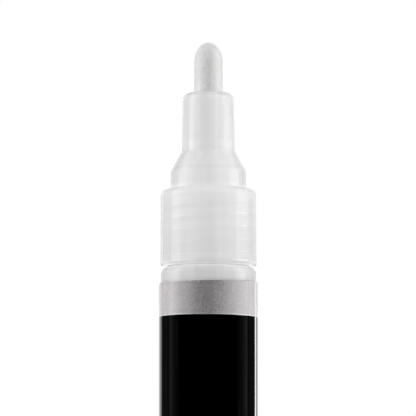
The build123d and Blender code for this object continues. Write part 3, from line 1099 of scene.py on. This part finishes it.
@dataclass
class Head:
    """Front section with the nib, its guide and the valve.

    The front section's tone with its painted light and shade, and its painted rim glow, are by the
    height in millimetres.
    """

    # Painted highlight dashes, lip and waves of shade where the thread inside shows.
    painted_thread_light: PaintedThreadLight = PaintedThreadLight(
        pitch=2.0 * MM,
        start=123.53 * MM,
        lip=121.97 * MM,
        heights=in_metres((
            (122.6, 0.0), (123.4, 0.25), (126.4, 0.3), (127.4, 1.0), (131.9, 1.0), (132.4, 0.0),
        )),
        sectors=(
            (-90, 0.0), (-52, 0.0), (-45, 0.8), (-28, 0.65), (-16, 0.0), (24, 0.0), (34, 0.9),
            (53, 1.0), (57, 0.0), (90, 0.0),
        ),
        flanks=(
            (-90, 0.2), (-52, 0.5), (-45, 1.0), (-25, 1.0), (-10, 0.3), (5, 0.6), (25, 0.5),
            (50, 1.0), (90, 0.2),
        ),
    )
    # Painted light at rims and corners and painted shade where pieces stand behind, over the tone.
    tone_and_painted_shading: Stops = (
        (121.3, 0.93), (121.42, 0.79), (121.6, 0.73), (122, 0.81), (122.4, 0.86), (122.7, 0.84),
        (122.8, 0.9), (122.95, 0.84), (125, 0.86), (127, 0.895), (131, 0.95), (133.1, 0.98),
        (134, 0.97), (134.6, 0.94), (135.6, 0.935), (136, 0.92), (136.5, 0.94), (137.1, 0.985),
        (139, 0.99), (139.6, 0.9), (147.6, 0.885), (148, 0.86), (148.4, 0.85),
    )
    # Painted light just off face on and painted shade towards the edge, by facing.
    across: Stops = (
        (0.0, 1.0), (0.012, 1.01), (0.034, 1.035), (0.1, 1.02), (0.16, 1.02), (0.223, 0.98),
        (0.293, 0.94), (0.371, 0.92), (0.455, 0.92), (0.546, 0.93), (0.642, 0.92), (0.7, 0.88),
        (0.78, 0.75), (1.0, 0.53),
    )
    # Painted glow at the collar's foot and top rims.
    painted_rim_glow: Stops = (
        (121.3, 0.6), (121.34, 0.42), (121.4, 0.06), (121.46, 0.0), (133.3, 0.0), (133.48, 0.14),
        (133.8, 0.06), (134.2, 0.0),
    )
    # Painted bands of light and shade; the foot bands paint light on the sides of the collar's
    # foot.
    neck_bands: PaintedBands = PaintedBands(
        low=138.8 * MM,
        high=150.0 * MM,
        stops=(
            (-90, 1.04), (-58, 1.03), (-52, 0.96), (-48, 0.97), (-44.5, 1.06), (-27, 1.03),
            (-22, 1.0), (-18, 0.957), (-13, 0.957), (-4, 1.0), (4.5, 1.03), (13.5, 1.02),
            (16.5, 1.09), (19, 1.09), (23, 1.04), (27, 1.01), (33, 1.0), (37, 1.05), (44, 1.015),
            (50, 1.07), (58, 1.13), (68, 1.11), (90, 1.08),
        ),
    )
    root_bands: PaintedBands = PaintedBands(
        low=138.9 * MM,
        high=141.4 * MM,
        stops=(
            (-90, 1.03), (-52, 1.02), (-47, 1.04), (-44, 1.09), (-38, 1.1), (-32, 1.05),
            (-12, 1.03), (0, 1.01), (18, 1.01), (23, 1.05), (28, 1.1), (38, 1.065), (44, 1.03),
            (50, 1.05), (58, 1.085), (66, 1.0), (90, 1.0),
        ),
        fade=0.9 * MM,
    )
    cone_bands: PaintedBands = PaintedBands(
        low=135.9 * MM,
        high=139.6 * MM,
        stops=(
            (-90, 0.93), (-62, 0.91), (-52, 0.92), (-43, 1.03), (-37, 1.04), (-30, 1.0),
            (-14, 0.95), (-6, 0.915), (2, 0.91), (8, 0.95), (14, 1.0), (32, 1.01), (37, 1.06),
            (46, 1.05), (55, 0.98), (90, 0.97),
        ),
    )
    seat_bands: PaintedBands = PaintedBands(
        low=133.6 * MM,
        high=136.4 * MM,
        stops=(
            (-90, 0.93), (-56, 0.94), (-50, 0.98), (-35, 1.0), (-5, 1.0), (8, 1.02), (13, 1.06),
            (18, 1.08), (22, 1.05), (28, 1.01), (45, 1.01), (51, 1.05), (55, 0.97), (90, 0.95),
        ),
    )
    collar_bands: PaintedBands = PaintedBands(
        low=121.6 * MM,
        high=133.6 * MM,
        stops=(
            (-90, 1.05), (-72, 1.05), (-63, 1.02), (-57, 1.0), (-53, 0.95), (-50, 0.975),
            (-44, 1.02), (-34, 1.0), (-19, 1.0), (-15, 1.03), (5, 1.03), (12, 1.02), (20, 1.0),
            (36, 1.01), (48, 0.985), (50.5, 1.0), (54, 1.05), (57, 1.0), (62, 1.02), (70, 1.03),
            (90, 1.03),
        ),
    )
    skirt_bands: PaintedBands = PaintedBands(
        low=115.0 * MM,
        high=130.0 * MM,
        stops=(
            (-90, 1.06), (-56, 1.06), (-50, 1.03), (-33, 1.03), (-22, 1.0), (45, 1.0), (54, 1.05),
            (90, 1.06),
        ),
        fade=5.0 * MM,
    )
    foot_bands: PaintedBands = PaintedBands(
        low=121.1 * MM,
        high=122.2 * MM,
        stops=(
            (-90, 1.24), (-62, 1.2), (-52, 1.1), (-44, 1.0), (46, 1.0), (54, 1.08), (62, 1.18),
            (90, 1.22),
        ),
        fade=0.3 * MM,
    )

    def build(self, box: Paintbox) -> None:
        """Builds the felt nib and the spring, and dresses the head.

        Args:
            box: the finishes.
        """
        shell = MilkyPlastic(
            name="milky_plastic_collar",
            tone_and_painted_shading=in_metres(self.tone_and_painted_shading),
            painted_rim_glow=in_metres(self.painted_rim_glow),
            across=self.across,
            painted_bands=(
                self.neck_bands,
                self.root_bands,
                self.cone_bands,
                self.seat_bands,
                self.collar_bands,
                self.skirt_bands,
                self.foot_bands,
            ),
            painted_thread_light=self.painted_thread_light,
        )
        box.coat_nodes(shell, "front_section")
        box.coat_nodes(MilkyPlastic(), "nib_guide", "valve_body", "valve_cage", "valve_stem")
        box.coat_nodes(SealRubber(), "seal_ring", "stem_seal")
        box.coat(Nib().build(), FibreNib())
        bright, dull = (0.58, 0.58, 0.59), (0.4, 0.4, 0.41)
        wire = Steel(name="spring_wire", bright=bright, dull=dull, gloss=0.24)
        box.coat(ValveSpring().build(), wire)


@dataclass
class Barrel:
    """Barrel with its tail plug, label film and mixing balls.

    The barrel's tone with its painted light and shade, and its painted rim glow, are by the height
    in millimetres.
    """

    # Tone by height, painted paler towards the shoulder's top as light into the groove.
    tone_and_painted_shading: Stops = (
        (118, 0.79), (119, 0.81), (120.2, 0.8), (120.8, 0.81), (121.2, 0.82), (121.6, 0.86),
    )
    # Painted glow on the shoulder's top, under the collar's foot.
    painted_rim_glow: Stops = (
        (121, 0.0), (121.1, 0.045), (121.2, 0.15), (121.26, 0.28), (121.5, 0.28), (121.7, 0.0),
    )
    # Painted shade towards the edge, by how far the surface turns from the view.
    across: Stops = (
        (0.0, 0.97), (0.24, 0.975), (0.3, 1.02), (0.42, 1.01), (0.55, 0.98), (0.642, 0.95),
        (0.7, 0.85), (0.78, 0.7), (1.0, 0.45),
    )

    def build(self, box: Paintbox) -> None:
        """Dresses the barrel's pieces.

        Args:
            box: the finishes.
        """
        tube = MilkyPlastic(
            name="milky_plastic_barrel",
            tone_and_painted_shading=in_metres(self.tone_and_painted_shading),
            painted_rim_glow=in_metres(self.painted_rim_glow),
            across=self.across,
        )
        box.coat_nodes(tube, "barrel", "tail_plug")
        box.coat_nodes(PrintedFilm(), "label_sleeve")
        box.coat_nodes(Steel(name="ball_steel"), "mixing_ball_left", "mixing_ball_right")


@dataclass
class Cap:
    """Posted cap with its clip and liner."""

    def build(self, box: Paintbox) -> None:
        """Dresses the cap."""
        box.coat_nodes(CapPlastic(), "cap_shell")
        box.coat_nodes(MilkyPlastic(), "cap_liner")


# ---------- studio


@dataclass
class Studio:
    """Pale floor, white surround and two soft boxes, one at each side.

    What gloss sees of the surround goes by y, from -1 in front of the marker to 1 behind it.
    """

    floor_size: float = 14.0
    floor_colour: Colour = (0.85, 0.85, 0.85)
    floor_rough: float = 0.9
    floor_lift: float = 0.36
    fill: float = 0.77
    mirrored: Stops = (
        (-1.0, 0.02), (0.0, 0.02), (0.15, 0.22), (0.4, 0.22), (0.55, 0.08), (0.76, 0.08),
        (0.8, 1.0), (1.0, 1.0),
    )
    box_width: float = 0.34
    box_height: float = 0.8
    box_reach: float = 0.6
    box_back: float = -0.03
    box_lift: float = 0.08
    box_watts: tuple[float, float] = (1.36, 1.6)
    aim: float = 0.13

    def build(self) -> None:
        """Builds the surround, the floor and the lamps."""
        self._surround()
        self._floor()
        for side, watts in zip(Side, self.box_watts):
            self._soft_box(side, watts)

    def _surround(self) -> None:
        """Makes the world: white for the camera, an even fill, and what gloss sees."""
        world = bpy.data.worlds.new("studio_surround")
        bpy.context.scene.world = world
        world.use_nodes = True
        world.node_tree.nodes.clear()
        graph = Graph(world.node_tree)
        way = graph.add("ShaderNodeTexCoord").outputs["Generated"]
        front_to_back = graph.add("ShaderNodeSeparateXYZ", {0: way}).outputs["Y"]
        seen = graph.ramp(front_to_back, self.mirrored)
        rays = graph.add("ShaderNodeLightPath").outputs
        clear = graph.math("MAXIMUM", rays[Ray.GLOSSY.value], rays[Ray.TRANSMISSION.value])
        fill = graph.choose(clear, self.fill, seen)
        level = graph.choose(rays[Ray.CAMERA.value], fill, 1.0)
        back = graph.add("ShaderNodeBackground", {"Color": WHITE, "Strength": level})
        graph.add("ShaderNodeOutputWorld", {"Surface": back.outputs[0]})

    def _floor(self) -> None:
        """Makes the floor, a little lifted for the camera alone so that it stays pale far away."""
        half = self.floor_size / 2
        corners = [(-half, -half, 0.0), (half, -half, 0.0), (half, half, 0.0), (-half, half, 0.0)]
        mesh = bpy.data.meshes.new("studio_floor")
        mesh.from_pydata(corners, [], [(0, 1, 2, 3)])
        floor = bpy.data.objects.new("studio_floor", mesh)
        bpy.context.scene.collection.objects.link(floor)
        surface = Surface("studio_floor")
        camera = surface.add("ShaderNodeLightPath").outputs[Ray.CAMERA.value]
        surface.dress(
            Base_Color=self.floor_colour,
            Roughness=self.floor_rough,
            Emission_Color=WHITE,
            Emission_Strength=surface.product(camera, self.floor_lift),
        )
        mesh.materials.append(surface.material)

    def _soft_box(self, side: Side, watts: float) -> None:
        """Makes one soft box.

        Args:
            side: the side of the marker that it stands at.
            watts: its power.
        """
        lamp = bpy.data.lights.new(f"soft_box_{side.name.lower()}", "AREA")
        lamp.shape = "RECTANGLE"
        lamp.size, lamp.size_y = self.box_width, self.box_height
        lamp.energy = watts
        thing = bpy.data.objects.new(lamp.name, lamp)
        thing.location = (side.value * self.box_reach, self.box_back, self.aim + self.box_lift)
        towards = Vector((0.0, 0.0, self.aim)) - Vector(thing.location)
        thing.rotation_euler = towards.to_track_quat("-Z", "Y").to_euler()
        thing.visible_camera = False
        bpy.context.scene.collection.objects.link(thing)


@dataclass
class Viewpoint:
    """Long lens, a little below the level of the marker's head, in the photograph's frame."""

    elevation: float = -5.0
    distance: float = 1.2
    pixels: float = 416.0
    pixels_per_mm: float = 6.42
    target: tuple[float, float, float] = (-0.07 * MM, 0.0, 130.5 * MM)
    sensor: float = 36.0
    clip: Span = (0.05, 30.0)

    def build(self) -> None:
        """Makes the camera and sets how the render treats colour."""
        width = self.pixels / self.pixels_per_mm * MM
        camera = bpy.data.cameras.new("camera")
        camera.sensor_width = self.sensor
        camera.lens = self.sensor * self.distance / width
        camera.clip_start, camera.clip_end = self.clip
        thing = bpy.data.objects.new("camera", camera)
        lean = math.radians(self.elevation)
        back = Vector((0.0, -math.cos(lean), math.sin(lean)))
        thing.location = Vector(self.target) + back * self.distance
        thing.rotation_euler = (-back).to_track_quat("-Z", "Y").to_euler()
        bpy.context.scene.collection.objects.link(thing)
        bpy.context.scene.camera = thing
        bpy.context.scene.view_settings.view_transform = "Standard"


def main() -> None:
    """Builds the marker's looks, the studio and the camera, in order."""
    logging.basicConfig(level=logging.INFO, format="%(name)s: %(message)s")
    box = Paintbox(Effects())
    for part in (Cap(), Barrel(), Head()):
        part.build(box)
        log.info("dressed %s", type(part).__name__)
    Studio().build()
    Viewpoint().build()


if __name__ == "__main__":
    main()
